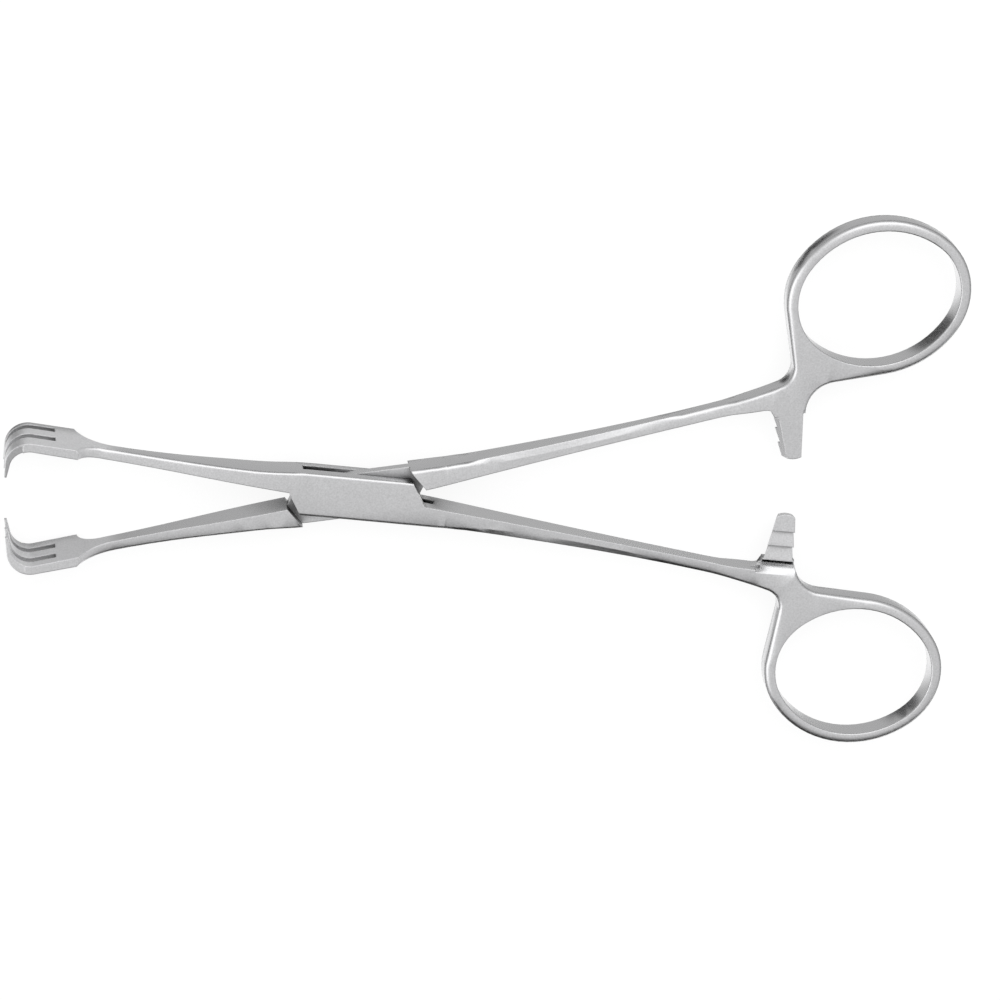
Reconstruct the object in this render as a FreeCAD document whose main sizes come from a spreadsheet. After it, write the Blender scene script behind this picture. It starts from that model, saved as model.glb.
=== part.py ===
import FreeCAD, Part
import math
import os
import Sketcher

# Traction forceps with a box lock: two halves that cross in the lock, and the rivet they turn on.
# Each half is drawn closed, in its own frame: the rivet's axis is Z, the jaws lie towards -X,
# the finger ring towards +X, and Z = 0 is halfway through the lock's thickness.
# Both halves share one outline. The second is the first turned half a turn about X.

# Driving dimensions, in millimetres and degrees
SIZES = [
    # the lock
    ("box_thickness", 5.6, "thickness of the lock, cheek face to cheek face"),
    ("box_half_width", 3.7, "half the width of the lock"),
    ("rest_half_angle", 6.74, "turn of each half away from closed, at rest"),
    ("cheek_reach", 9.35, "distance from the rivet to a cheek's slanted end"),
    ("cheek_slant", 58, "angle between a cheek's end and the half's own axis"),
    ("lock_gap", 0.3, "gap in plan between the halves inside the closed lock"),
    ("tongue_thickness", 1.6, "thickness of the tongue that passes through the box"),
    ("tongue_play", 0.05, "gap between the tongue and each cheek"),
    ("tongue_offset", 0.15, "how far the tongue lies below the middle of the lock"),
    ("slot_reach", 13.6, "distance from the rivet to the slot's deepest end"),
    # the rivet
    ("rivet_radius", 1.25, "radius of the rivet's shank"),
    ("rivet_head_radius", 1.55, "radius of the rivet's ground head"),
    ("rivet_head_depth", 0.5, "depth of the countersink under each head"),
    ("rivet_play", 0.03, "gap around the rivet in the tongue"),
    # the front shank and its neck
    ("front_taper_start", 11, "distance at which the front shank begins to thin"),
    ("box_edge_end", 7, "distance at which the lock's straight edge ends in front"),
    ("waist_reach", 17, "distance to the narrowest place behind the neck"),
    ("waist_depth", 0.45, "how far the waist lies inside the lock's edge"),
    ("neck_from_heel", 4.2, "distance from the heel to the neck"),
    ("neck_inner", 2.45, "inner edge of the neck"),
    ("neck_thickness", 2.7, "thickness of the neck across the jaw"),
    ("front_inner", 0.12, "inner edge of the front shank at the lock"),
    # the jaw plate
    ("heel_reach", 45.4, "distance to the heel of the jaw"),
    ("heel_outer", 4.42, "outer face of the jaw at its heel"),
    ("jaw_plate", 1.52, "thickness of the jaw plate at its heel"),
    ("jaw_width", 9.8, "width of the jaw, across its prongs"),
    ("box_jaw_drop", 0.82, "how far the box half's jaw lies below the lock's middle"),
    ("tongue_jaw_drop", -0.1, "the same on the tongue half, as drawn"),
    ("flare_long", 5.9, "length of the flare on the jaw's lower side"),
    ("flare_short", 3.9, "length of the flare on the jaw's upper side"),
    # the hooked prongs
    ("plate_length", 7.5, "length of the jaw plate from its heel to the bend"),
    ("bend_rise", 0.43, "how much further out the plate is at the bend than at its heel"),
    ("bend_outer_radius", 3.75, "outer radius of the bend"),
    ("bend_inner_radius", 3.13, "inner radius of the bend"),
    ("bend_wall", 1.4, "thickness of the prongs where they start to bend"),
    ("hook_wall", 0.72, "thickness of the prongs where the bend ends"),
    ("tip_lean", 0.12, "how far the points lean inwards below the bend"),
    ("tip_drop", 1.75, "how far the points pass the middle when closed"),
    ("tip_wall", 0.36, "thickness of the blunt points"),
    ("bridge_length", 3.6, "length of solid plate between the heel and the slots"),
    ("prong_pitch", 4.14, "distance between the two slots"),
    ("prong_slot", 1.7, "width of each slot"),
    ("box_prong_drop", 1.8, "how far the box half's slots lie below the lock's middle"),
    ("tongue_prong_drop", -0.07, "the same on the tongue half, as drawn"),
    ("point_start", 2.0, "height at which the prongs' inner sides start to narrow"),
    ("outer_point_start", 4.6, "height at which the jaw's outer sides start to narrow"),
    ("point_width", 0.6, "width of each prong at its point"),
    ("point_spread", 4.0, "distance of an outer point from the middle one"),
    # the rear shank
    ("rear_taper_start", 12.5, "distance at which the rear shank begins to thin"),
    ("rear_taper_ease", 40, "rounding where the rear shank begins to thin"),
    ("thin_from_arm", 12.6, "distance from the arm's middle to the shank's thinnest place"),
    ("thin_thickness", 2.9, "thickness there"),
    ("rear_outer_start", 15, "distance at which the rear shank's outer edge starts to curve"),
    ("rear_outer_ease", 60, "rounding where that curve starts"),
    ("rear_outer_radius", 560, "radius of that curve"),
    ("rear_start_slope", 3.2, "slope of the outer edge where that curve starts"),
    ("rear_end_slope", 15.6, "slope of the outer edge where it meets the web"),
    ("web_lead_radius", 68, "radius of the curve that leads the outer edge into the web"),
    ("web_lead_turn", 8, "turn of that curve"),
    ("inner_from_arm", 9.4, "distance from the arm's middle to the end of the straight inner edge"),
    ("rear_end_inner", 5.95, "inner edge of the rear shank there"),
    # the finger ring
    ("ring_thickness", 4.0, "thickness of the ring"),
    ("ring_reach", 87.28, "distance from the rivet to the ring's middle, along the half"),
    ("ring_drop", 22.75, "distance from the half's axis to the ring's middle"),
    ("ring_hole_long", 13.4, "half the length of the ring's hole"),
    ("ring_hole_short", 11.35, "half the width of the ring's hole"),
    ("ring_end_radius", 9.8, "radius of the ends of the hole"),
    ("ring_band", 1.75, "width of the ring's band"),
    ("ring_tilt", 3.6, "tilt of the ring's long axis"),
    ("web_turn", 1.4, "how far from its top the ring runs out into the web"),
    ("web_run", 8.6, "straight edge between the ring and the hollow at the arm"),
    ("web_hollow", 5.2, "hollow between ring and ratchet arm"),
    ("web_hollow_turn", 83, "turn of that hollow"),
    ("web_rise", 8.6, "straight edge between the ring's end and the outer hollow"),
    ("web_outer_hollow", 3.4, "hollow between ring and shank, outside"),
    # the ratchet arm
    ("arm_from_ring", 15.88, "distance from the ring's middle to the arm's middle, along the half"),
    ("arm_tip_width", 3.6, "width of the arm at its tip, toothed side"),
    ("arm_root_width", 5.1, "width of the arm at its root, toothed side"),
    ("arm_left_slope", 0.9, "slant of the arm's side towards the lock"),
    ("arm_right_slope", 0.3, "slant of the arm's other side"),
    ("arm_tip", 2.75, "how far the arm reaches past the middle at its corners"),
    ("arm_tip_radius", 3.2, "rounding of the arm's end"),
    ("arm_hollow", 2.3, "hollow between arm and shank"),
    ("arm_root", 4.7, "where the arm's full root begins, below the middle"),
    ("tooth_pitch", 2.6, "distance from tooth to tooth"),
    ("tooth_depth", 0.75, "depth of a tooth"),
    ("tooth_land", 0.25, "flat crest of a tooth"),
    ("tooth_gap", 0.05, "gap from a crest to the middle of the thickness"),
    ("first_tooth", 0.29, "steep side of the first tooth, past the middle"),
    # the softened edges
    ("front_edge", 0.45, "flat that breaks the outer edges of lock and front shank"),
    ("rear_edge", 0.6, "flat that breaks the outer edges of rear shank, web and ring"),
    ("hole_edge", 0.2, "flat that breaks the edge of the ring's hole"),
]
TEETH = 3


class Size:
    """A number together with the expression it is worked out by, so that a sketch can be bound to it."""

    def __init__(self, value, text):
        self.value = value
        self.text = text

    def _join(self, other, sign, value):
        other_text = other.text if isinstance(other, Size) else repr(other)
        return Size(value, "(" + self.text + " " + sign + " " + other_text + ")")

    def __add__(self, other):
        return self._join(other, "+", self.value + number(other))

    def __sub__(self, other):
        return self._join(other, "-", self.value - number(other))

    def __mul__(self, other):
        return self._join(other, "*", self.value * number(other))

    def __truediv__(self, other):
        return self._join(other, "/", self.value / number(other))

    def __neg__(self):
        return Size(-self.value, "(-1 * " + self.text + ")")


def number(value):
    return value.value if isinstance(value, Size) else value


def fixed(value):
    return Size(float(value), repr(float(value)))


def sine(angle):
    return Size(math.sin(math.radians(angle.value)), "sin(" + angle.text + ")")


def cosine(angle):
    return Size(math.cos(math.radians(angle.value)), "cos(" + angle.text + ")")


doc = FreeCAD.newDocument("traction_forceps")
sheet = doc.addObject("Spreadsheet::Sheet", "Sizes")
for row, (alias, value, meaning) in enumerate(SIZES, 1):
    sheet.set("A%d" % row, meaning)
    sheet.set("B%d" % row, str(value))
    sheet.setAlias("B%d" % row, alias)
doc.recompute()


def size(alias):
    return Size(float(sheet.get(alias)), "Sizes." + alias)


def plane(body, role):
    for feature in body.Origin.OriginFeatures:
        if feature.Role == role:
            return feature


def new_sketch(body, name, role, offset=None):
    """A sketch on one of the body's own planes, moved along that plane's normal by offset."""
    sketch = body.newObject("Sketcher::SketchObject", name)
    sketch.AttachmentSupport = (plane(body, role), [""])
    sketch.MapMode = "FlatFace"
    if offset is not None:
        sketch.AttachmentOffset = FreeCAD.Placement(FreeCAD.Vector(0, 0, offset.value), FreeCAD.Rotation())
        sketch.setExpression("AttachmentOffset.Base.z", offset.text)
    return sketch


def arc_between(start, end, radius, side):
    """The short arc from start to end that bulges to the left (side 1) or to the right (side -1)."""
    chord = end - start
    half = chord.Length / 2
    rise = radius - math.sqrt(max(radius * radius - half * half, 0))
    left = FreeCAD.Vector(-chord.y, chord.x, 0).normalize()
    middle = (start + end) / 2 + left * (side * rise)
    return Part.ArcOfCircle(start, middle, end)


def draw_outline(sketch, corners, arcs):
    """Close a loop through the corners. arcs gives, for some sides, a radius and where it bulges."""
    points = [FreeCAD.Vector(x.value, y.value, 0) for x, y in corners]
    ends = []
    for index, start in enumerate(points):
        end = points[(index + 1) % len(points)]
        if index in arcs:
            radius, side = arcs[index]
            curve = sketch.addGeometry(arc_between(start, end, radius.value, side))
            at_start = (sketch.getPoint(curve, 1) - start).Length < (sketch.getPoint(curve, 2) - start).Length
            ends.append((curve, 1, 2) if at_start else (curve, 2, 1))
        else:
            curve = sketch.addGeometry(Part.LineSegment(start, end))
            ends.append((curve, 1, 2))
    for index, (curve, first, last) in enumerate(ends):
        following = ends[(index + 1) % len(ends)]
        sketch.addConstraint(Sketcher.Constraint("Coincident", curve, last, following[0], following[1]))
    for index, (x, y) in enumerate(corners):
        curve, first, last = ends[index]
        for kind, length in (("DistanceX", x), ("DistanceY", y)):
            made = sketch.addConstraint(Sketcher.Constraint(kind, -1, 1, curve, first, length.value))
            sketch.setExpression("Constraints[%d]" % made, length.text)
    for index, (radius, side) in arcs.items():
        made = sketch.addConstraint(Sketcher.Constraint("Radius", ends[index][0], radius.value))
        sketch.setExpression("Constraints[%d]" % made, radius.text)


def pad(body, sketch, up, down):
    """Material on both sides of the sketch."""
    feature = body.newObject("PartDesign::Pad", sketch.Name + "_pad")
    feature.Profile = sketch
    feature.SideType = "Two sides"
    feature.setExpression("Length", up.text)
    feature.setExpression("Length2", down.text)
    sketch.Visibility = False
    return feature


def cut_through(body, sketch):
    """A cut that runs right through on both sides of the sketch."""
    feature = body.newObject("PartDesign::Pocket", sketch.Name + "_cut")
    feature.Profile = sketch
    feature.SideType = "Symmetric"
    feature.Type = "ThroughAll"
    return feature


def cut_both_ways(body, sketch, length):
    """A cut of the given whole length, half of it on each side of the sketch."""
    feature = body.newObject("PartDesign::Pocket", sketch.Name + "_cut")
    feature.Profile = sketch
    feature.SideType = "Symmetric"
    feature.setExpression("Length", length.text)
    return feature


def cut_one_way(body, sketch, length, upwards):
    """A cut that starts at the sketch."""
    feature = body.newObject("PartDesign::Pocket", sketch.Name + "_cut")
    feature.Profile = sketch
    feature.Reversed = upwards
    feature.setExpression("Length", length.text)
    return feature


def cheek_corner():
    """Distance along the half from the rivet to the corner where a cheek's end meets its edge."""
    slant = size("cheek_slant")
    return (size("cheek_reach") - size("box_half_width") * cosine(slant)) / sine(slant)


def cheek_inner_corner():
    """The same, to the inside corner where a cheek's end meets the shank."""
    slant = size("cheek_slant")
    return (size("cheek_reach") + size("front_inner") * cosine(slant)) / sine(slant)


def bend_reach():
    return size("heel_reach") + size("plate_length")


def bend_outer():
    return size("heel_outer") + size("bend_rise")


def neck_reach():
    return size("heel_reach") - size("neck_from_heel")


def arm_reach():
    """Distance along the half from the rivet to the ratchet arm's middle."""
    return size("ring_reach") - size("arm_from_ring")


def inner_reach():
    """The same, to the end of the rear shank's straight inner edge."""
    return arm_reach() - size("inner_from_arm")


def arm_foot():
    """The same, to the end of the hollow between shank and arm, where the web begins."""
    return arm_reach() - size("arm_root_width") / 2 - size("arm_hollow")


def ease(start, end, rise, first):
    """A curve between two level lines, of two arcs. Gives where they meet, and the second radius."""
    run = end[0] - start[0]
    total = (run * run + rise * rise) / (rise * 2.0)
    share = first / total
    meeting = (start[0] + run * share, start[1] + (end[1] - start[1]) * share)
    return meeting, total - first


def arc_through(run, rise):
    """The radius of an arc that leaves a level line and climbs by rise over run."""
    return (run * run + rise * rise) / (rise * 2.0)


def jaw_outline_front():
    """The outer face of jaw and front shank, from the point to the lock, with its arcs."""
    bend = bend_reach() + size("bend_outer_radius")
    tip = bend - size("tip_lean")
    waist = (-size("waist_reach"), size("box_half_width") - size("waist_depth"))
    edge = (-size("box_edge_end"), size("box_half_width"))
    first = arc_through(edge[0] - waist[0], size("waist_depth")) / 2.0
    meeting, second = ease(waist, edge, size("waist_depth"), first)
    corners = [
        (-tip, -size("tip_drop")),
        (-bend, bend_outer() - size("bend_outer_radius")),
        (-bend_reach(), bend_outer()),
        (-size("heel_reach"), size("heel_outer")),
        waist,
        meeting,
        edge,
    ]
    climb = arc_through(size("heel_reach") - size("waist_reach"), size("heel_outer") - waist[1])
    arcs = {1: (size("bend_outer_radius"), 1), 3: (climb, -1), 4: (first, -1), 5: (second, 1)}
    return corners, arcs


def jaw_outline_back():
    """The inner face of front shank and jaw, from the lock back to the point."""
    bend_inner = bend_outer() - size("bend_wall")
    hook_inner = bend_reach() + size("bend_outer_radius") - size("hook_wall")
    tip = bend_reach() + size("bend_outer_radius") - size("tip_lean")
    corners = [
        (-neck_reach(), size("neck_inner")),
        (-size("heel_reach"), size("heel_outer") - size("jaw_plate")),
        (-(hook_inner - size("bend_inner_radius")), bend_inner),
        (-hook_inner, bend_inner - size("bend_inner_radius")),
        (-(tip - size("tip_wall")), -size("tip_drop")),
    ]
    return corners, {2: (size("bend_inner_radius"), -1)}


def on_ring(x, y):
    """A point given along the ring's own axes, in the half's frame."""
    tilt = size("ring_tilt")
    across = x * cosine(tilt) + y * sine(tilt)
    up = y * cosine(tilt) - x * sine(tilt)
    return size("ring_reach") + across, up - size("ring_drop")


def oval(long_half, short_half, end_radius):
    """The four corners of an oval of four arcs, clockwise from the upper left, and its side radius."""
    end_centre = long_half - end_radius
    side_radius = (end_centre * end_centre + short_half * short_half - end_radius * end_radius) / (
        (short_half - end_radius) * 2.0)
    share = side_radius - end_radius
    x = side_radius * end_centre / share
    y = (side_radius - short_half) * end_radius / share
    return [(-x, y), (x, y), (x, -y), (-x, -y)], side_radius


def rear_outline():
    """Rear shank, web and ring, clockwise from the end of the inner edge to the lock."""
    long_half = size("ring_hole_long") + size("ring_band")
    short_half = size("ring_hole_short") + size("ring_band")
    end_radius = size("ring_end_radius") + size("ring_band")
    quarters, side_radius = oval(long_half, short_half, end_radius)
    # the ring's top runs out into a straight edge, and that into the hollow beside the arm
    turn = size("web_turn")
    leave = on_ring(-side_radius * sine(turn), short_half - side_radius + side_radius * cosine(turn))
    slope = turn - size("ring_tilt")
    run_end = (leave[0] - size("web_run") * cosine(slope), leave[1] - size("web_run") * sine(slope))
    steep = slope - size("web_hollow_turn")
    hollow = size("web_hollow")
    hollow_start = (
        run_end[0] - hollow * sine(slope) + hollow * sine(steep),
        run_end[1] + hollow * cosine(slope) - hollow * cosine(steep),
    )
    # the ring's end runs out into the straight outer edge of the web, and that into the shank
    tilt = size("ring_tilt")
    rise_end = on_ring(-long_half, size("web_rise"))
    outer = size("web_outer_hollow")
    end_slope = size("rear_end_slope")
    shank_start = (
        rise_end[0] - outer * cosine(tilt) + outer * sine(end_slope),
        rise_end[1] + outer * sine(tilt) + outer * cosine(end_slope),
    )
    # back along the shank's outer edge: a middling arc, a long one, a short one, the lock's edge
    lead_turn = size("web_lead_turn")
    lead_slope = end_slope - lead_turn / 2
    lead_chord = size("web_lead_radius") * 2.0 * sine(lead_turn / 2)
    lead_start = (
        shank_start[0] - lead_chord * cosine(lead_slope),
        shank_start[1] + lead_chord * sine(lead_slope),
    )
    start_slope = size("rear_start_slope")
    ease_chord = size("rear_outer_ease") * 2.0 * sine(start_slope / 2)
    ease_end = (size("rear_outer_start"), -size("box_half_width"))
    ease_start = (
        ease_end[0] + ease_chord * cosine(start_slope / 2),
        ease_end[1] - ease_chord * sine(start_slope / 2),
    )
    arm_right = arm_reach() + size("arm_root_width") / 2
    arm_left = arm_reach() - size("arm_root_width") / 2
    corners = [
        (inner_reach(), -size("rear_end_inner")),
        (arm_left - 0.6, -(size("rear_end_inner") + 0.2)),
        (arm_left + 0.1, -size("arm_root")),
        (arm_right + 0.05, -size("arm_root")),
        hollow_start,
        run_end,
        leave,
        on_ring(*quarters[1]),
        on_ring(*quarters[2]),
        on_ring(*quarters[3]),
        on_ring(-long_half, fixed(0)),
        rise_end,
        shank_start,
        lead_start,
        ease_start,
        ease_end,
    ]
    arcs = {
        4: (hollow, -1),
        6: (side_radius, 1),
        7: (end_radius, 1),
        8: (side_radius, 1),
        9: (end_radius, 1),
        11: (outer, -1),
        12: (size("web_lead_radius"), -1),
        13: (size("rear_outer_radius"), -1),
        14: (size("rear_outer_ease"), 1),
    }
    return corners, arcs


def draw_half_outline(body, jaw_drop):
    """The outline in plan of a whole half: jaw, front shank, lock, rear shank, web and ring."""
    front, front_arcs = jaw_outline_front()
    rear, rear_arcs = rear_outline()
    back, back_arcs = jaw_outline_back()
    lock_rear = [
        (cheek_corner(), size("box_half_width")),
        (cheek_inner_corner(), -size("front_inner")),
    ]
    lock_front = [
        (-cheek_corner(), -size("box_half_width")),
        (-cheek_inner_corner(), size("front_inner")),
    ]
    first_rear = len(front) + len(lock_rear)
    first_back = first_rear + len(rear) + len(lock_front)
    arcs = dict(front_arcs)
    for first, some in ((first_rear, rear_arcs), (first_back, back_arcs)):
        for index, arc in some.items():
            arcs[first + index] = arc
    sketch = new_sketch(body, body.Name + "_plan", "XY_Plane")
    draw_outline(sketch, front + lock_rear + rear + lock_front + back, arcs)
    half_jaw = size("jaw_width") / 2
    pad(body, sketch, half_jaw - jaw_drop, half_jaw + jaw_drop)


def trim_side(body, name, side, flare, jaw_drop):
    """Cut one face to its side view: flare, neck, rise to the lock, hollow taper, rise to the web."""
    half_jaw = size("jaw_width") / 2 - jaw_drop * float(side)
    clear = half_jaw + 4.0
    half_box = size("box_thickness") / 2
    half_neck = size("neck_thickness") / 2
    half_thin = size("thin_thickness") / 2
    half_ring = size("ring_thickness") / 2
    past_ring = size("ring_reach") * 2.0
    heel = (-size("heel_reach"), half_jaw)
    neck = (flare - size("heel_reach"), half_neck)
    box_front = (-size("front_taper_start"), half_box)
    box_rear = (size("rear_taper_start"), half_box)
    thin = (arm_reach() - size("thin_from_arm"), half_thin)
    web = (arm_foot(), half_ring)
    rise = half_box - half_neck
    first = arc_through(box_front[0] - neck[0], rise) / 2.0
    front_meeting, front_second = ease(neck, box_front, rise, first)
    taper_meeting, taper_second = ease(box_rear, thin, half_box - half_thin, size("rear_taper_ease"))
    swell = half_ring - half_thin
    swell_first = arc_through(web[0] - thin[0], swell) / 2.0
    swell_meeting, swell_second = ease(thin, web, swell, swell_first)
    heights = [
        heel,
        neck,
        front_meeting,
        box_front,
        box_rear,
        taper_meeting,
        thin,
        swell_meeting,
        web,
        (past_ring, half_ring),
        (past_ring, clear),
        (-size("heel_reach"), clear),
    ]
    radii = {
        0: (arc_through(flare, half_jaw - half_neck), -1),
        1: (first, -1),
        2: (front_second, 1),
        4: (size("rear_taper_ease"), 1),
        5: (taper_second, -1),
        6: (swell_first, -1),
        7: (swell_second, 1),
    }
    corners = [(x, height * float(side)) for x, height in heights]
    arcs = {index: (radius, bulge * side) for index, (radius, bulge) in radii.items()}
    sketch = new_sketch(body, body.Name + name, "XZ_Plane")
    draw_outline(sketch, corners, arcs)
    cut_through(body, sketch)


def cut_ring_hole(body):
    """The oval hole for a finger."""
    quarters, side_radius = oval(
        size("ring_hole_long"), size("ring_hole_short"), size("ring_end_radius"))
    end_radius = size("ring_end_radius")
    arcs = {0: (side_radius, 1), 1: (end_radius, 1), 2: (side_radius, 1), 3: (end_radius, 1)}
    hole = new_sketch(body, body.Name + "_ring_hole", "XY_Plane")
    draw_outline(hole, [on_ring(x, y) for x, y in quarters], arcs)
    cut_through(body, hole)


def leans(face, point, low, high):
    """Whether the face's normal at the point is upright to a degree between low and high."""
    u, v = face.Surface.parameter(point)
    return low <= abs(face.normalAt(u, v).z) <= high


def rim_edges(body, wanted):
    """The edges where a side wall meets an upper or lower face, at the places that are wanted."""
    shape = body.Tip.Shape
    names = []
    for index, edge in enumerate(shape.Edges, 1):
        middle = edge.valueAt((edge.FirstParameter + edge.LastParameter) / 2)
        faces = shape.ancestorsOfType(edge, Part.Face)
        walls = [face for face in faces if leans(face, middle, 0.0, 0.3)]
        tops = [face for face in faces if leans(face, middle, 0.6, 1.0)]
        if walls and tops and wanted(middle):
            names.append("Edge%d" % index)
    return names


def break_rims(body, name, width, wanted):
    """The wanted edges of the upper and lower faces, broken by a narrow flat."""
    doc.recompute()
    base = body.Tip
    names = rim_edges(body, wanted)
    feature = body.newObject("PartDesign::Chamfer", body.Name + name)
    feature.Base = (base, names)
    feature.setExpression("Size", width.text)
    return feature


def is_front_outer(point):
    """On the outer edge between the jaw's heel and the cheek's rear corner."""
    beside = size("neck_inner").value + 0.4
    return -size("heel_reach").value < point.x < cheek_corner().value and point.y > beside


def is_rear_outer(point):
    """On the outer edge of lock, rear shank, web and ring."""
    if point.x < size("rear_outer_start").value:
        return point.x > -cheek_corner().value and point.y < 0.05 - size("box_half_width").value
    if point.x < inner_reach().value:
        return point.y < inner_line(point.x) - 1.0
    return point.y < -(size("rear_end_inner").value + 0.6)


def inner_line(x):
    """Height of the straight inner edge of the rear shank at a distance x."""
    start = cheek_inner_corner().value
    share = (x - start) / (inner_reach().value - start)
    return -size("front_inner").value - share * (size("rear_end_inner").value - size("front_inner").value)


def is_hole(point):
    """Inside the ring's outer edge, so on the rim of its hole."""
    across = point.x - size("ring_reach").value
    down = point.y + size("ring_drop").value
    reach = size("ring_hole_long").value + size("ring_band").value * 0.4
    return math.hypot(across, down * reach / (reach + size("ring_hole_short").value
                                              - size("ring_hole_long").value)) < reach


def arm_outline(left, right):
    """The arm's outline at one height, its sides moved in by left and right."""
    reach = arm_reach()
    tip = size("arm_tip_width") / 2
    base = size("arm_root_width") / 2
    arm_root = size("arm_root")
    foot = size("rear_end_inner") + 0.15
    return [
        (reach - tip + left, size("arm_tip") - 0.1),
        (reach + tip - right, size("arm_tip")),
        (reach + base - right, -arm_root),
        (reach + base - right * 0.5, -(arm_root + 3.0)),
        (arm_foot() + left, -(arm_root + 3.0)),
        (arm_foot() + left, -foot),
        (reach - base + left, size("arm_hollow") - foot),
    ]


def add_ratchet_arm(body):
    """The half-thick ratchet arm, narrower at its back, before its teeth are cut."""
    arcs = {0: (size("arm_tip_radius"), 1), 5: (size("arm_hollow"), -1)}
    top = new_sketch(body, body.Name + "_arm_front", "XY_Plane", size("tooth_gap") * 8.0)
    draw_outline(top, arm_outline(fixed(0), fixed(0)), arcs)
    back = new_sketch(body, body.Name + "_arm_back", "XY_Plane", -size("ring_thickness") / 2)
    draw_outline(back, arm_outline(size("arm_left_slope"), size("arm_right_slope")), arcs)
    loft = body.newObject("PartDesign::AdditiveLoft", body.Name + "_arm")
    loft.Profile = top
    loft.Sections = [back]
    loft.Ruled = True


def cut_teeth(body):
    """Ramps that rise towards the root, each ending in a steep step, and the slope behind them."""
    pitch = size("tooth_pitch")
    crest = -size("tooth_gap")
    valley = crest - size("tooth_depth")
    land = size("tooth_land")
    top = size("ring_thickness") / 2
    before_tip = size("arm_tip") + 2.0
    corners = [(before_tip, valley)]
    for tooth in range(TEETH):
        step = size("first_tooth") - pitch * float(tooth)
        corners.append((step + land, crest))
        corners.append((step, crest))
        corners.append((step, valley))
    last = size("first_tooth") - pitch * float(TEETH - 1)
    slope_end = last - (top - valley) * 0.7
    corners.append((slope_end, top + 0.5))
    corners.append((slope_end, top + 2.0))
    corners.append((before_tip, top + 2.0))
    sketch = new_sketch(body, body.Name + "_teeth", "YZ_Plane", arm_reach())
    draw_outline(sketch, corners, {})
    cut_both_ways(body, sketch, size("arm_root_width") + 2.8)


def cut_prong_slots(body, prong_drop):
    """The two straight slots that part the jaw plate and the hooks into three prongs."""
    half_slot = size("prong_slot") / 2
    past_tip = bend_reach() + size("bend_outer_radius") + 3.0
    slot_start = size("heel_reach") + size("bridge_length")
    for name, side in (("_slot_above", 1.0), ("_slot_below", -1.0)):
        middle = size("prong_pitch") * (0.5 * side) - prong_drop
        corners = [
            (-past_tip, middle - half_slot),
            (-past_tip, middle + half_slot),
            (-slot_start, middle + half_slot),
            (-slot_start, middle - half_slot),
        ]
        sketch = new_sketch(body, body.Name + name, "XZ_Plane")
        draw_outline(sketch, corners, {})
        cut_through(body, sketch)


def narrow_points(body, jaw_drop, prong_drop):
    """Narrow each hooked prong, seen from the front, to a blunt point."""
    start = size("point_start")
    outer_start = size("outer_point_start")
    half_slot = size("prong_slot") / 2
    half_point = size("point_width") / 2
    spread = size("point_spread")
    middle = -prong_drop
    beyond = -(size("tip_drop") + 0.6)
    half_jaw = size("jaw_width") / 2
    top = half_jaw - jaw_drop
    bottom = -(half_jaw + jaw_drop)
    gaps = []
    for side in (1.0, -1.0):
        centre = middle + size("prong_pitch") * (0.5 * side)
        outer_point = middle + spread * side
        near_side = middle + half_point * side
        far_side = outer_point - half_point * side
        gaps.append([
            (start, centre - half_slot * side),
            (start, centre + half_slot * side),
            (beyond, far_side),
            (beyond, near_side),
        ])
    gaps.append([
        (outer_start, top),
        (outer_start, top + 1.0),
        (beyond, top + 1.0),
        (beyond, middle + spread + half_point),
    ])
    gaps.append([
        (outer_start, bottom),
        (outer_start, bottom - 1.0),
        (beyond, bottom - 1.0),
        (beyond, middle - spread - half_point),
    ])
    reach = -(bend_reach() + size("bend_outer_radius"))
    for index, corners in enumerate(gaps):
        sketch = new_sketch(body, "%s_point_%d" % (body.Name, index), "YZ_Plane", reach)
        draw_outline(sketch, corners, {})
        cut_both_ways(body, sketch, size("bend_inner_radius") * 1.6)


def new_half(name, jaw_drop, prong_drop):
    """Everything the two halves share."""
    body = doc.addObject("PartDesign::Body", name)
    body.Label = name
    draw_half_outline(body, jaw_drop)
    trim_side(body, "_upper_side", 1, size("flare_short"), jaw_drop)
    trim_side(body, "_lower_side", -1, size("flare_long"), jaw_drop)
    break_rims(body, "_front_edges", size("front_edge"), is_front_outer)
    break_rims(body, "_rear_edges", size("rear_edge"), is_rear_outer)
    cut_ring_hole(body)
    break_rims(body, "_hole_edges", size("hole_edge"), is_hole)
    add_ratchet_arm(body)
    cut_teeth(body)
    cut_prong_slots(body, prong_drop)
    narrow_points(body, jaw_drop, prong_drop)
    return body


def cut_box_slot(body):
    """The slot through the box half, a little thicker than the tongue, with slanted ends."""
    wide = size("box_half_width")
    edge = cheek_corner() + size("lock_gap")
    run = size("slot_reach") - edge
    over = 0.3
    corners = [
        (-(edge - run * over), wide * (1.0 + over)),
        (-(size("slot_reach") + run * 0.1), -wide * 0.1),
        (-(size("slot_reach") + run * 0.1), -wide * (1.0 + over)),
        (edge - run * over, -wide * (1.0 + over)),
        (size("slot_reach") + run * 0.1, wide * 0.1),
        (size("slot_reach") + run * 0.1, wide * (1.0 + over)),
    ]
    floor = -(size("tongue_thickness") / 2 + size("tongue_play") + size("tongue_offset"))
    sketch = new_sketch(body, body.Name + "_slot", "XY_Plane", floor)
    draw_outline(sketch, corners, {})
    cut_one_way(body, sketch, size("tongue_thickness") + size("tongue_play") * 2.0, True)


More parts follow.
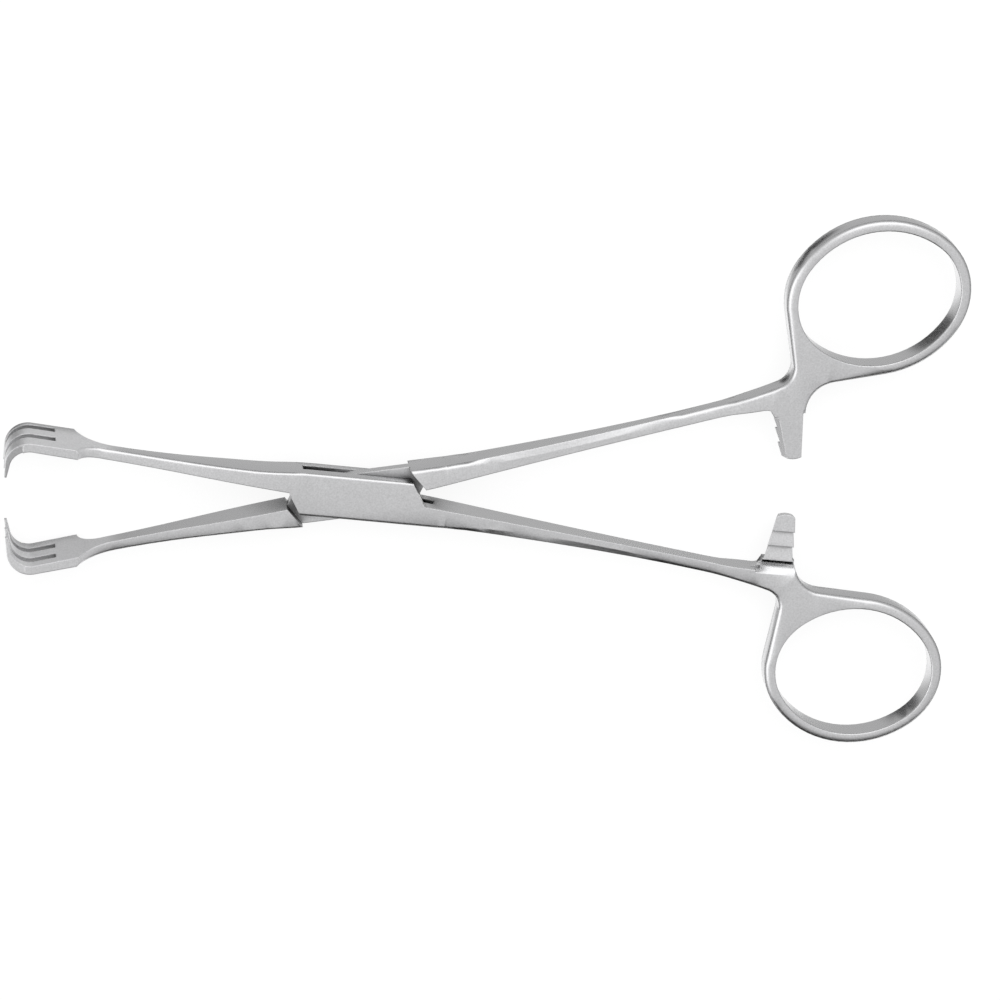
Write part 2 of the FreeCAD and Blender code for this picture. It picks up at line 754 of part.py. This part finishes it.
def cut_tongue(body):
    """Thin the middle of the other half to the tongue, between two slanted shoulders."""
    slant = size("cheek_slant")
    distance = size("cheek_reach") + size("lock_gap")
    far = size("box_half_width") + 1.5
    lean = far * cosine(slant) / sine(slant)
    foot = distance / sine(slant)
    corners = [
        (lean - foot, far),
        (-foot - lean, -far),
        (foot - lean, -far),
        (foot + lean, far),
    ]
    depth = size("box_thickness")
    upper = size("tongue_thickness") / 2 + size("tongue_offset")
    lower = size("tongue_offset") - size("tongue_thickness") / 2
    for name, level, upwards in (("_recess_above", upper, True), ("_recess_below", lower, False)):
        sketch = new_sketch(body, body.Name + name, "XY_Plane", level)
        draw_outline(sketch, corners, {})
        cut_one_way(body, sketch, depth, upwards)


def rivet_corners():
    """Half the rivet's section: its shank, with a countersunk head ground flush at each end."""
    half = size("box_thickness") / 2
    under_head = half - size("rivet_head_depth")
    centre = fixed(0)
    return [
        (centre, -half),
        (size("rivet_head_radius"), -half),
        (size("rivet_radius"), -under_head),
        (size("rivet_radius"), under_head),
        (size("rivet_head_radius"), half),
        (centre, half),
    ]


def turn_section(body, kind, name):
    """Turn the rivet's section about the Z axis, as material or as a cut."""
    sketch = new_sketch(body, body.Name + name, "XZ_Plane")
    draw_outline(sketch, rivet_corners(), {})
    feature = body.newObject(kind, sketch.Name + "_turned")
    feature.Profile = sketch
    feature.ReferenceAxis = (sketch, ["V_Axis"])
    feature.Angle = 360


def bore_tongue(body):
    """The running hole for the rivet."""
    sketch = new_sketch(body, body.Name + "_bore", "XY_Plane")
    circle = sketch.addGeometry(Part.Circle(FreeCAD.Vector(0, 0, 0), FreeCAD.Vector(0, 0, 1), 1.0))
    sketch.addConstraint(Sketcher.Constraint("Coincident", circle, 3, -1, 1))
    radius = size("rivet_radius") + size("rivet_play")
    made = sketch.addConstraint(Sketcher.Constraint("Radius", circle, radius.value))
    sketch.setExpression("Constraints[%d]" % made, radius.text)
    cut_through(body, sketch)


def place(body, turn, half_turn):
    """Open a half by its rest angle, with the lock's lower face at Z = 0."""
    opened = FreeCAD.Rotation(FreeCAD.Vector(0, 0, 1), turn)
    flipped = FreeCAD.Rotation(FreeCAD.Vector(1, 0, 0), half_turn)
    level = FreeCAD.Vector(0, 0, size("box_thickness").value / 2)
    body.Placement = FreeCAD.Placement(level, opened.multiply(flipped))


box_half = new_half("box_half", size("box_jaw_drop"), size("box_prong_drop"))
cut_box_slot(box_half)
turn_section(box_half, "PartDesign::Groove", "_rivet_seat")
tongue_half = new_half("tongue_half", size("tongue_jaw_drop"), size("tongue_prong_drop"))
cut_tongue(tongue_half)
bore_tongue(tongue_half)
pivot_rivet = doc.addObject("PartDesign::Body", "pivot_rivet")
pivot_rivet.Label = "pivot_rivet"
turn_section(pivot_rivet, "PartDesign::Revolution", "_section")

rest = size("rest_half_angle").value
place(box_half, -rest, 0)
place(tongue_half, rest, 180)
place(pivot_rivet, -rest, 0)
doc.recompute()

pieces = [box_half, tongue_half, pivot_rivet]
for item in doc.Objects:
    if "Invalid" in item.State or "Error" in item.State:
        raise RuntimeError(item.Name + " did not build: " + str(item.State))
for piece in pieces:
    if piece.Shape.isNull() or not piece.Shape.isValid():
        raise RuntimeError(piece.Label + " has no valid shape")
    if len(piece.Shape.Solids) != 1:
        raise RuntimeError(piece.Label + " is not one solid")

os.makedirs("parts", exist_ok=True)
for piece in pieces:
    piece.Shape.exportStep("parts/" + piece.Label + ".step")
    box = piece.Shape.BoundBox
    print("%-12s volume %8.1f mm3, faces %3d, box %6.1f %6.1f %6.1f to %6.1f %6.1f %6.1f" % (
        piece.Label, piece.Shape.Volume, len(piece.Shape.Faces),
        box.XMin, box.YMin, box.ZMin, box.XMax, box.YMax, box.ZMax))
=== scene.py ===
import math

import bpy
from bpy.props import FloatProperty, FloatVectorProperty, IntProperty
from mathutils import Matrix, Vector

bl_info = {
    "name": "Traction Forceps",
    "version": (1, 0, 0),
    "blender": (4, 5, 0),
    "location": "3D View > Sidebar > Forceps",
    "description": "Finishes a pair of steel traction forceps and builds the photograph's stage for it",
    "category": "Object",
}

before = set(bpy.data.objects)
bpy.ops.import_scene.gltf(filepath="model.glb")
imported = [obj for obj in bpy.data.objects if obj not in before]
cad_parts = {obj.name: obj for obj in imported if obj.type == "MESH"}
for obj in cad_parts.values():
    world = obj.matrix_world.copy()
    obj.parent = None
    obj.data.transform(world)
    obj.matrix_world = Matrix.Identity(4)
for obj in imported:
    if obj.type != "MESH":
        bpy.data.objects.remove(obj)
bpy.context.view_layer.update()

MILLIMETRE = 0.001

# The middle of a noise's values, and of the way from one shade to another
MIDDLE = 0.5

# How many rays feel out the edges, and the nearby steel for the painted shade, around a point
RAYS = 6

# Sockets of a mix for each kind of data: first input, second input and result
MIX_SOCKETS = {"RGBA": (6, 7, 2), "VECTOR": (4, 5, 1)}


class Value:
    """A shader socket that can be added, multiplied and so on like a number."""

    def __init__(self, tree, socket):
        self.tree = tree
        self.socket = socket

    def _math(self, operation, *others):
        node = self.tree.nodes.new("ShaderNodeMath")
        node.operation = operation
        for index, item in enumerate((self,) + others):
            _feed(self.tree, node.inputs[index], item)
        return Value(self.tree, node.outputs[0])

    def __add__(self, other):
        return self._math("ADD", other)

    def __radd__(self, other):
        return self._math("ADD", other)

    def __sub__(self, other):
        return self._math("SUBTRACT", other)

    def __rsub__(self, other):
        return (self * -1.0) + other

    def __mul__(self, other):
        return self._math("MULTIPLY", other)

    def __rmul__(self, other):
        return self._math("MULTIPLY", other)

    def absolute(self):
        return self._math("ABSOLUTE")

    def root(self):
        return self._math("SQRT")

    def step(self, low, high):
        """0 below low, 1 above high, and a smooth climb between them."""
        inputs = {"Value": self, "From Min": low, "From Max": high}
        return Nodes(self.tree).node(
            "ShaderNodeMapRange", "Result", inputs, interpolation_type="SMOOTHSTEP")


def _feed(tree, target, source):
    """Link a value to a socket, or set the socket to a plain number or colour."""
    if isinstance(source, Value):
        tree.links.new(source.socket, target)
    else:
        target.default_value = source


class Nodes:
    """A node tree, with one method for each kind of node that it needs."""

    def __init__(self, tree):
        self.tree = tree

    def node(self, kind, output, inputs=None, **settings):
        """Add a node, set it up, and return one of its outputs, if any is asked for."""
        made = self.tree.nodes.new(kind)
        for key, item in settings.items():
            setattr(made, key, item)
        for key, item in (inputs or {}).items():
            _feed(self.tree, made.inputs[key], item)
        if output is not None:
            return Value(self.tree, made.outputs[output])

    def coordinates(self):
        """The object's own coordinates."""
        return self.node("ShaderNodeTexCoord", "Object")

    def normal_part(self, axis):
        """One component of the surface's normal, along the object's own axes."""
        normal = self.node("ShaderNodeTexCoord", "Normal")
        return self.node("ShaderNodeSeparateXYZ", axis, {"Vector": normal})

    def place_part(self, axis):
        """One of the object's own coordinates."""
        return self.node("ShaderNodeSeparateXYZ", axis, {"Vector": self.coordinates()})

    def distance_from_axis(self):
        """Distance from the object's Z axis, on which the rivet lies."""
        along = self.place_part("X")
        across = self.place_part("Y")
        return (along * along + across * across).root()

    def stretched(self, scale):
        """The object's own coordinates, scaled by a different factor along each axis."""
        return self.node("ShaderNodeMapping", "Vector", {"Vector": self.coordinates(), "Scale": scale})

    def noise(self, vector, scale, detail=2.0, roughness=0.5):
        inputs = {"Vector": vector, "Scale": scale, "Detail": detail, "Roughness": roughness}
        return self.node("ShaderNodeTexNoise", "Fac", inputs)

    def _mix(self, kind, factor, first, second):
        """first where factor is 0, second where it is 1."""
        first_socket, second_socket, result = MIX_SOCKETS[kind]
        inputs = {0: factor, first_socket: first, second_socket: second}
        return self.node("ShaderNodeMix", result, inputs, data_type=kind)

    def mix_colours(self, factor, first, second):
        return self._mix("RGBA", factor, first, second)

    def mix_vectors(self, factor, first, second):
        return self._mix("VECTOR", factor, first, second)

    def bump(self, height, strength, distance, normal):
        inputs = {"Height": height, "Strength": strength, "Distance": distance, "Normal": normal}
        return self.node("ShaderNodeBump", "Normal", inputs)


class Shader(Nodes):
    """The node tree of a new material."""

    def __init__(self, name):
        self.material = bpy.data.materials.new(name)
        self.material.use_nodes = True
        super().__init__(self.material.node_tree)
        self.principled = self.tree.nodes["Principled BSDF"]

    def surface(self, **inputs):
        """Feed the surface's inputs, whose names are written with underscores for spaces."""
        for key, item in inputs.items():
            _feed(self.tree, self.principled.inputs[key.replace("_", " ")], item)


def rgba(colour):
    return (colour[0], colour[1], colour[2], 1.0)


def grey(brightness):
    return (brightness, brightness, brightness, 1.0)


def steel_colour(shader, finish, flat, grain, fine, blasted):
    """Grained faces, clouded walls, pale speckled sides on the jaws, and painted shade in slots, recesses
    and between the halves.
    """
    clouds = shader.noise(shader.coordinates(), finish.cloud_scale)
    slow = (clouds - MIDDLE) * finish.cloud_contrast
    shade = (fine + slow) * flat + slow * finish.wall_clouds + MIDDLE
    colour = shader.mix_colours(shade, rgba(finish.steel_low), rgba(finish.steel_high))
    speckle = grain.step(finish.speckle_low, finish.speckle_high) * (1.0 - finish.speckle_least)
    speckled = blasted * (speckle + finish.speckle_least)
    colour = shader.mix_colours(speckled, colour, rgba(finish.jaw_steel))
    # Painted shade: the colour runs to near black where nearby steel or the floor hides much of the room
    reach = {"Distance": finish.painted_shade_reach}
    open_share = shader.node("ShaderNodeAmbientOcclusion", "AO", reach, samples=RAYS)
    unshaded_share = open_share.step(finish.painted_shade_deep, finish.painted_shade_none)
    return shader.mix_colours(unshaded_share, rgba(finish.painted_shade_colour), colour)


def steel_roughness(finish, flat, fine, blasted):
    """Matt faces, smoother ground walls, and rougher sides on the jaws."""
    rough = finish.wall_roughness + flat * (finish.face_roughness - finish.wall_roughness)
    return rough + fine * finish.grain_matt + blasted * finish.blast_roughness


def steel_normal(shader, finish, flat, grain):
    """Grain on the faces, fine strokes along the walls, and edges that look rounded off."""
    drawn_out = shader.stretched((finish.stroke_draw, 1.0, 1.0))
    strokes = shader.noise(drawn_out, finish.stroke_scale)
    relief = grain * flat + strokes * (1.0 - flat) * finish.stroke_height
    rounded = shader.node("ShaderNodeBevel", "Normal", {"Radius": finish.edge_width}, samples=RAYS)
    plain_normal = shader.node("ShaderNodeNewGeometry", "Normal")
    away = shader.distance_from_axis().step(finish.rivet_zone, finish.rivet_zone + finish.rivet_fade)
    rounded = shader.mix_vectors(away, plain_normal, rounded)
    return shader.bump(relief, finish.grain_bump, finish.grain_height, rounded)


def satin_steel(name, finish):
    """Steel with a fine matt grain on its faces, smoother ground walls and blasted jaw sides."""
    shader = Shader(name)
    upright = shader.normal_part("Z").absolute()
    flat = upright.step(finish.wall_upright, finish.face_upright)
    grain = shader.noise(
        shader.coordinates(), finish.grain_scale, finish.grain_detail, finish.grain_roughness)
    fine = (grain - MIDDLE) * finish.grain_contrast
    lengthwise = shader.place_part("X")
    jaws = 1.0 - lengthwise.step(finish.jaw_start - finish.jaw_blend, finish.jaw_start)
    blasted = jaws * (1.0 - flat)
    shader.surface(
        Base_Color=steel_colour(shader, finish, flat, grain, fine, blasted),
        Metallic=1.0,
        Roughness=steel_roughness(finish, flat, fine, blasted),
        Normal=steel_normal(shader, finish, flat, grain),
    )
    return shader.material


class ForcepsFinish(bpy.types.PropertyGroup):
    """How the steel looks."""
    steel_low: FloatVectorProperty(
        name="Darker steel", description="Colour of the steel in its darker grain", subtype="COLOR",
        size=3, default=(0.53, 0.53, 0.535))
    steel_high: FloatVectorProperty(
        name="Lighter steel", description="Colour of the steel in its lighter grain", subtype="COLOR",
        size=3, default=(0.70, 0.70, 0.71))
    wall_upright: FloatProperty(
        name="Wall upright", description="Steel whose normal points up or down by less is a wall",
        default=0.55)
    face_upright: FloatProperty(
        name="Face upright", description="Steel whose normal points up or down by more is a face",
        default=0.93)
    jaw_steel: FloatVectorProperty(
        name="Jaw steel", description="Colour of the paler, blasted sides of the jaws",
        subtype="COLOR", size=3, default=(0.88, 0.88, 0.89))
    jaw_start: FloatProperty(
        name="Jaw start", description="Where along the forceps the blasted jaws begin", unit="LENGTH",
        default=-37.0 * MILLIMETRE)
    jaw_blend: FloatProperty(
        name="Jaw blend", description="Length over which the blasting fades in", unit="LENGTH",
        default=4.0 * MILLIMETRE)
    blast_roughness: FloatProperty(
        name="Blast roughness", description="How much rougher the blasted sides of the jaws are",
        default=0.18)
    speckle_low: FloatProperty(
        name="Faint speckle", description="Grain below which the blasting is at its faintest",
        default=0.3)
    speckle_high: FloatProperty(
        name="Full speckle", description="Grain above which the blasting is at its fullest",
        default=0.7)
    speckle_least: FloatProperty(
        name="Least speckle", description="Share of the blasting where it is at its faintest",
        default=0.5)
    # Painted shade: a near-black colour laid on steel where nearby steel or the floor stands close
    painted_shade_colour: FloatVectorProperty(
        name="Painted shade colour", description="Colour of the steel painted as shade deep in slots and between the halves",
        subtype="COLOR", size=3, default=(0.04, 0.04, 0.04))
    painted_shade_reach: FloatProperty(
        name="Painted shade reach", description="How near a wall must stand to darken the steel facing it",
        unit="LENGTH", default=6.0 * MILLIMETRE)
    painted_shade_deep: FloatProperty(
        name="Deepest painted shade", description="Open share of the surroundings below which steel is darkest",
        default=0.15)
    painted_shade_none: FloatProperty(
        name="Open steel", description="Open share of the surroundings above which steel is not darkened",
        default=0.8)
    face_roughness: FloatProperty(
        name="Face roughness", description="Roughness of the satin faces", default=0.42)
    wall_roughness: FloatProperty(
        name="Wall roughness", description="Roughness of the ground side walls", default=0.27)
    grain_scale: FloatProperty(
        name="Grain scale", description="Grains of the satin finish to a metre", default=3800.0)
    grain_detail: FloatProperty(
        name="Grain detail", description="Number of finer layers in the satin grain", default=3.0)
    grain_roughness: FloatProperty(
        name="Grain layers", description="Strength of each finer layer beside the one before it",
        default=0.65)
    grain_contrast: FloatProperty(
        name="Grain contrast", description="Strength of the satin grain in the colour", default=2.2)
    grain_matt: FloatProperty(
        name="Matt grain", description="Strength of the satin grain in the roughness", default=0.12)
    grain_bump: FloatProperty(
        name="Grain bump", description="Strength of the satin grain in the relief", default=0.35)
    grain_height: FloatProperty(
        name="Grain height", description="Height of the satin grain", unit="LENGTH",
        default=0.03 * MILLIMETRE)
    stroke_scale: FloatProperty(
        name="Stroke scale", description="Fine strokes to a metre, across the ground walls",
        default=2280.0)
    stroke_draw: FloatProperty(
        name="Stroke draw", description="Scale of the strokes along the forceps, as a share of that across",
        default=0.06)
    stroke_height: FloatProperty(
        name="Stroke height", description="Height of the strokes, as a share of the grain's",
        default=0.2)
    cloud_scale: FloatProperty(
        name="Cloud scale", description="Broad, faint changes of shade to a metre", default=90.0)
    cloud_contrast: FloatProperty(
        name="Cloud contrast", description="Strength of the broad changes of shade", default=0.25)
    wall_clouds: FloatProperty(
        name="Wall clouds", description="Share of the broad changes of shade that the walls show",
        default=0.5)
    edge_width: FloatProperty(
        name="Edge width", description="How far the sharp edges look rounded", unit="LENGTH",
        default=0.24 * MILLIMETRE)
    rivet_zone: FloatProperty(
        name="Rivet zone", description="Radius around the rivet that is ground quite flush",
        unit="LENGTH", default=2.0 * MILLIMETRE)
    rivet_fade: FloatProperty(
        name="Rivet fade", description="Length over which the rounded look sets in outside that radius",
        unit="LENGTH", default=0.2 * MILLIMETRE)
    weld_gap: FloatProperty(
        name="Weld gap", description="Corners that lie closer than this are joined for shading",
        unit="LENGTH", default=0.0005 * MILLIMETRE)
    ridge_low: FloatProperty(
        name="Low ridge", description="Edges that turn by less are shaded smoothly", unit="ROTATION",
        default=math.radians(19))
    ridge_high: FloatProperty(
        name="High ridge", description="Edges that turn by more are shaded as roundings", unit="ROTATION",
        default=math.radians(34))
    edge_angle: FloatProperty(
        name="Edge angle", description="Edges that turn by more stay sharp", unit="ROTATION",
        default=math.radians(52))
    face_weight: IntProperty(
        name="Face weight", description="How much the broad faces rule the shading at edges", default=80)


class ForcepsStage(bpy.types.PropertyGroup):
    """Camera, floor, studio and lamp."""
    camera_place: FloatVectorProperty(
        name="Camera place", description="Where the camera stands, in metres", subtype="XYZ",
        unit="LENGTH", size=3, default=(-0.06291, 0.23916, 0.60563))
    camera_turn: FloatVectorProperty(
        name="Camera turn", description="How the camera is turned", subtype="EULER", unit="ROTATION",
        size=3, default=(math.radians(-21.819), math.radians(-7.434), math.radians(1.868)))
    lens: FloatProperty(
        name="Lens", description="Focal length of the camera in millimetres", default=145.0)
    film_width: FloatProperty(
        name="Film width", description="Width of the camera's film in millimetres", default=36.0)
    nearest: FloatProperty(
        name="Nearest", description="Nearest distance that the camera shows", unit="LENGTH", default=0.01)
    farthest: FloatProperty(
        name="Farthest", description="Farthest distance that the camera shows", unit="LENGTH",
        default=50.0)
    floor_height: FloatProperty(
        name="Floor height", description="Height of the floor on which the jaws rest", unit="LENGTH",
        default=-2.95 * MILLIMETRE)
    floor_width: FloatProperty(
        name="Floor width", description="Width of the square floor", unit="LENGTH", default=6.0)
    floor_shade: FloatProperty(
        name="Floor shade", description="How pale the floor is", default=0.93)
    floor_roughness: FloatProperty(
        name="Floor roughness", description="Roughness of the floor's paper", default=0.9)
    floor_glow: FloatProperty(
        name="Floor glow", description="How much of the floor seen by the camera is plain white",
        default=0.87)
    room_high: FloatProperty(
        name="Room above", description="Brightness of the room above the forceps", default=0.88)
    room_low: FloatProperty(
        name="Room below", description="Brightness of the room below the forceps", default=0.62)
    horizon_blend: FloatProperty(
        name="Horizon blend", description="How far above and below the horizon the two blend",
        default=0.1)
    white_wall: FloatProperty(
        name="White wall", description="Brightness of the two white walls", default=1.9)
    low_wall: FloatProperty(
        name="Low wall", description="Brightness of the pale patch low in front", default=1.25)
    dark_wall: FloatProperty(
        name="Dark wall", description="Brightness of the dark wall and the dark corner", default=0.02)
    white_heading: FloatVectorProperty(
        name="White heading", description="Direction of the white wall behind the forceps",
        subtype="XYZ", size=3, default=(0.12, 0.87, 0.48))
    white_reach: FloatProperty(
        name="White reach", description="Angle from its middle to the edge of the white wall behind",
        unit="ROTATION", default=0.42)
    white_fade: FloatProperty(
        name="White fade", description="Angle over which the white wall behind fades out",
        unit="ROTATION", default=0.30)
    jaw_heading: FloatVectorProperty(
        name="Jaw heading", description="Direction of the white wall beyond the jaws", subtype="XYZ",
        size=3, default=(-0.9, -0.2, 0.4))
    jaw_reach: FloatProperty(
        name="Jaw reach", description="Angle from its middle to the edge of the wall beyond the jaws",
        unit="ROTATION", default=0.35)
    jaw_fade: FloatProperty(
        name="Jaw fade", description="Angle over which the wall beyond the jaws fades out",
        unit="ROTATION", default=0.40)
    low_heading: FloatVectorProperty(
        name="Low heading", description="Direction of the pale patch low in front", subtype="XYZ",
        size=3, default=(0.05, -0.5, -0.86))
    low_reach: FloatProperty(
        name="Low reach", description="Angle from its middle to the edge of the pale patch",
        unit="ROTATION", default=0.42)
    low_fade: FloatProperty(
        name="Low fade", description="Angle over which the pale patch fades out", unit="ROTATION",
        default=0.20)
    front_heading: FloatVectorProperty(
        name="Front heading", description="Direction of the dark wall in front", subtype="XYZ", size=3,
        default=(0.1, -1.0, 0.0))
    front_reach: FloatProperty(
        name="Front reach", description="Angle from its middle to the edge of the dark wall",
        unit="ROTATION", default=0.64)
    front_fade: FloatProperty(
        name="Front fade", description="Angle over which the dark wall fades out", unit="ROTATION",
        default=0.18)
    corner_heading: FloatVectorProperty(
        name="Corner heading", description="Direction of the dark corner low at the left", subtype="XYZ",
        size=3, default=(-0.33, 0.20, -0.92))
    corner_reach: FloatProperty(
        name="Corner reach", description="Angle from its middle to the edge of the dark corner",
        unit="ROTATION", default=0.18)
    corner_fade: FloatProperty(
        name="Corner fade", description="Angle over which the dark corner fades out", unit="ROTATION",
        default=0.10)
    key_power: FloatProperty(
        name="Key light", description="Power of the soft light that falls on the floor",
        unit="POWER", default=9.0)
    key_place: FloatVectorProperty(
        name="Key place", description="Where the soft light hangs", subtype="XYZ", unit="LENGTH",
        size=3, default=(0.0, 0.75, 1.2))
    key_target: FloatVectorProperty(
        name="Key target", description="The place that the soft light faces", subtype="XYZ",
        unit="LENGTH", size=3, default=(0.02, 0.0, 0.0))
    key_width: FloatProperty(
        name="Key width", description="Width of the soft light", unit="LENGTH", default=1.1)
    key_depth: FloatProperty(
        name="Key depth", description="Depth of the soft light", unit="LENGTH", default=0.7)


class FORCEPS_OT_finish(bpy.types.Operator):
    """Give both halves and the rivet their satin steel."""
    bl_idname = "forceps.finish"
    bl_label = "Finish Steel"

    def execute(self, context):
        finish = context.scene.forceps_finish
        steel = satin_steel("satin_steel", finish)
        crisp = sharp_edges(finish)
        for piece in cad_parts.values():
            for place in piece.material_slots:
                place.material = steel
            soften_edges(piece, finish, crisp)
        return {"FINISHED"}


def sharp_edges(finish):
    """Nodes that shade a piece smoothly, but keep its corners and its low ridges crisp."""
    tree = bpy.data.node_groups.new("sharp_edges", "GeometryNodeTree")
    tree.interface.new_socket("Geometry", in_out="INPUT", socket_type="NodeSocketGeometry")
    tree.interface.new_socket("Geometry", in_out="OUTPUT", socket_type="NodeSocketGeometry")
    nodes = Nodes(tree)
    turn = nodes.node("GeometryNodeInputMeshEdgeAngle", "Unsigned Angle")

    def turns(operation, angle):
        return nodes.node("FunctionNodeCompare", "Result", {"A": turn, "B": angle}, operation=operation)

    small = turns("LESS_THAN", finish.ridge_low)
    past = turns("GREATER_THAN", finish.ridge_high)
    within = turns("LESS_THAN", finish.edge_angle)
    flat_edge = nodes.node("FunctionNodeBooleanMath", "Boolean", {0: past, 1: within})
    gentle = nodes.node("FunctionNodeBooleanMath", "Boolean", {0: small, 1: flat_edge}, operation="OR")
    entry = nodes.node("NodeGroupInput", 0)
    smooth = nodes.node("GeometryNodeSetShadeSmooth", 0, {"Geometry": entry})
    smooth = nodes.node("GeometryNodeSetShadeSmooth", 0, {"Geometry": smooth, "Shade Smooth": gentle},
                        domain="EDGE")
    nodes.node("NodeGroupOutput", None, {0: smooth})
    return tree


def soften_edges(piece, finish, crisp):
    """Shade the narrow flats along the edges as roundings between the broad faces."""
    weld = piece.modifiers.new("weld", "WELD")
    weld.merge_threshold = finish.weld_gap
    sharpen = piece.modifiers.new("sharp_edges", "NODES")
    sharpen.node_group = crisp
    weighted = piece.modifiers.new("weighted", "WEIGHTED_NORMAL")
    weighted.keep_sharp = True
    weighted.weight = finish.face_weight


def make_floor_light(stage):
    """A large, soft light that falls on the floor. The steel doesn't mirror it."""
    data = bpy.data.lights.new("key", "AREA")
    data.shape = "RECTANGLE"
    data.size = stage.key_width
    data.size_y = stage.key_depth
    data.energy = stage.key_power
    lamp = bpy.data.objects.new("key", data)
    lamp.location = stage.key_place
    facing = Vector(stage.key_target) - Vector(stage.key_place)
    lamp.rotation_euler = facing.to_track_quat("-Z", "Y").to_euler()
    lamp.visible_glossy = False
    bpy.context.scene.collection.objects.link(lamp)


def patch(nodes, direction, heading, reach, fade):
    """1 in the directions within reach of heading, 0 past reach and fade together."""
    middle = Vector(heading).normalized()
    facing = nodes.node("ShaderNodeVectorMath", "Value", {0: direction, 1: middle}, operation="DOT_PRODUCT")
    return facing.step(math.cos(reach + fade), math.cos(reach))


def build_studio(stage):
    """A pale room with two white walls, a pale patch low in front, a dark wall and a dark corner."""
    world = bpy.data.worlds.new("studio")
    world.use_nodes = True
    nodes = Nodes(world.node_tree)
    direction = nodes.node("ShaderNodeTexCoord", "Generated")
    up = nodes.node("ShaderNodeSeparateXYZ", "Z", {"Vector": direction})
    above = up.step(-stage.horizon_blend, stage.horizon_blend)
    colour = nodes.mix_colours(above, grey(stage.room_low), grey(stage.room_high))
    patches = (
        (stage.white_heading, stage.white_reach, stage.white_fade, stage.white_wall),
        (stage.jaw_heading, stage.jaw_reach, stage.jaw_fade, stage.white_wall),
        (stage.low_heading, stage.low_reach, stage.low_fade, stage.low_wall),
        (stage.front_heading, stage.front_reach, stage.front_fade, stage.dark_wall),
        (stage.corner_heading, stage.corner_reach, stage.corner_fade, stage.dark_wall),
    )
    for heading, reach, fade, brightness in patches:
        share = patch(nodes, direction, heading, reach, fade)
        colour = nodes.mix_colours(share, colour, grey(brightness))
    _feed(nodes.tree, nodes.tree.nodes["Background"].inputs["Color"], colour)
    return world


def make_floor(stage):
    """A plain pale floor, wide enough for every view. The steel doesn't mirror it."""
    bpy.ops.mesh.primitive_plane_add(size=stage.floor_width, location=(0.0, 0.0, stage.floor_height))
    floor = bpy.context.object
    floor.name = "floor"
    shader = Shader("floor_paper")
    shader.surface(
        Base_Color=grey(stage.floor_shade),
        Roughness=stage.floor_roughness,
        Specular_IOR_Level=0.0,
    )
    seen = shader.node("ShaderNodeLightPath", "Is Camera Ray")
    white = shader.node("ShaderNodeEmission", "Emission", {"Color": grey(1.0), "Strength": 1.0})
    paper = Value(shader.tree, shader.principled.outputs["BSDF"])
    mixed = shader.node("ShaderNodeMixShader", "Shader", {0: seen * stage.floor_glow, 1: paper, 2: white})
    _feed(shader.tree, shader.tree.nodes["Material Output"].inputs["Surface"], mixed)
    floor.data.materials.append(shader.material)
    floor.visible_glossy = False


def make_camera(stage):
    """The camera, placed and turned as for the photograph."""
    data = bpy.data.cameras.new("camera")
    data.lens = stage.lens
    data.sensor_width = stage.film_width
    data.clip_start = stage.nearest
    data.clip_end = stage.farthest
    camera = bpy.data.objects.new("camera", data)
    camera.location = stage.camera_place
    camera.rotation_euler = stage.camera_turn
    bpy.context.scene.collection.objects.link(camera)
    bpy.context.scene.camera = camera


class FORCEPS_OT_stage(bpy.types.Operator):
    """Build the pale floor, the soft studio light and the camera."""
    bl_idname = "forceps.stage"
    bl_label = "Build Stage"

    def execute(self, context):
        stage = context.scene.forceps_stage
        make_floor(stage)
        make_camera(stage)
        context.scene.world = build_studio(stage)
        make_floor_light(stage)
        context.scene.view_settings.view_transform = "Standard"
        return {"FINISHED"}


class FORCEPS_PT_panel(bpy.types.Panel):
    """Settings of the forceps' finish and stage."""
    bl_label = "Traction Forceps"
    bl_idname = "FORCEPS_PT_panel"
    bl_space_type = "VIEW_3D"
    bl_region_type = "UI"
    bl_category = "Forceps"

    def draw(self, context):
        layout = self.layout
        for group in (context.scene.forceps_finish, context.scene.forceps_stage):
            for key in group.bl_rna.properties.keys():
                if key not in ("rna_type", "name"):
                    layout.prop(group, key)
        layout.operator("forceps.finish")
        layout.operator("forceps.stage")


CLASSES = (ForcepsFinish, ForcepsStage, FORCEPS_OT_finish, FORCEPS_OT_stage, FORCEPS_PT_panel)


def register():
    for item in CLASSES:
        bpy.utils.register_class(item)
    bpy.types.Scene.forceps_finish = bpy.props.PointerProperty(type=ForcepsFinish)
    bpy.types.Scene.forceps_stage = bpy.props.PointerProperty(type=ForcepsStage)


def unregister():
    del bpy.types.Scene.forceps_stage
    del bpy.types.Scene.forceps_finish
    for item in reversed(CLASSES):
        bpy.utils.unregister_class(item)


def main():
    register()
    bpy.ops.forceps.finish()
    bpy.ops.forceps.stage()


if __name__ == "__main__":
    main()
